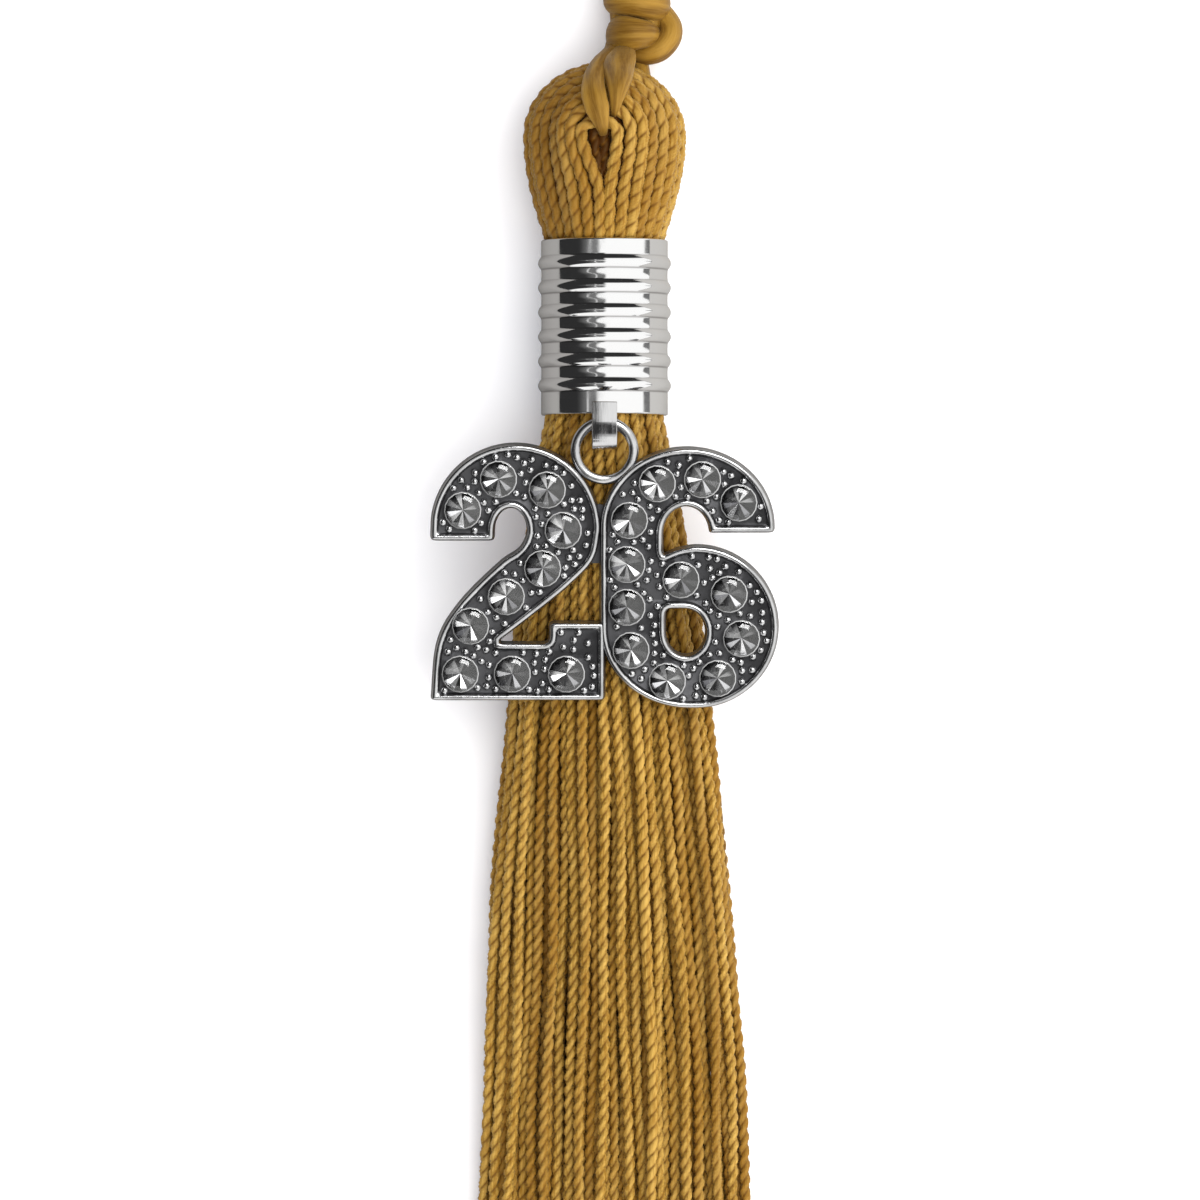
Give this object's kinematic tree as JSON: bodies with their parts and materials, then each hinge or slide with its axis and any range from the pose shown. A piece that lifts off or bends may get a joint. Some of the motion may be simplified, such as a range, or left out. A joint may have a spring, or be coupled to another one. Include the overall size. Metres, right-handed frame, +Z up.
{
  "type": "graduation tassel",
  "caption": "Graduation tassel lying flat, with a folded yarn head, a beaded metal collar, a knotted satin hanging loop and a hinged number charm set with crystals.",
  "frame": {"origin": "middle of the base of the tassel without its hanging loop, on the surface on which it lies", "axes": "+Y along the tassel from the cut end to the hanging loop, +X to the right, +Z up from the surface"},
  "size_m": [0.033, 0.322, 0.0158],
  "materials": {
    "yarn": "twisted rayon cords, antique gold, soft sheen",
    "satin_cord": "woven satin cord, antique gold",
    "chrome": "bright plated",
    "cast_metal": "cast and plated, polished rims with a darkened field",
    "crystal": "clear cut crystal with a foiled back"
  },
  "bodies": {
    "tassel": {"yarn": "yarn", "collar": "chrome", "knot": "satin_cord", "hanging_loop": "satin_cord"},
    "number_charm": {"charm": "cast_metal", "stone_two_01": "crystal", "stone_two_02": "crystal", "stone_two_03": "crystal", "stone_two_04": "crystal", "stone_two_05": "crystal", "stone_two_06": "crystal", "stone_two_07": "crystal", "stone_two_08": "crystal", "stone_two_09": "crystal", "stone_two_10": "crystal", "stone_six_01": "crystal", "stone_six_02": "crystal", "stone_six_03": "crystal", "stone_six_04": "crystal", "stone_six_05": "crystal", "stone_six_06": "crystal", "stone_six_07": "crystal", "stone_six_08": "crystal", "stone_six_09": "crystal", "stone_six_10": "crystal", "stone_six_11": "crystal", "stone_six_12": "crystal"}
  },
  "joints": [
    {"name": "charm_swing", "type": "hinge", "parent": "tassel", "child": "number_charm", "pos_m": [0, 0.07551, 0.01393], "axis": [-1, 0, 0], "range_deg": [0, 165]}
  ]
}
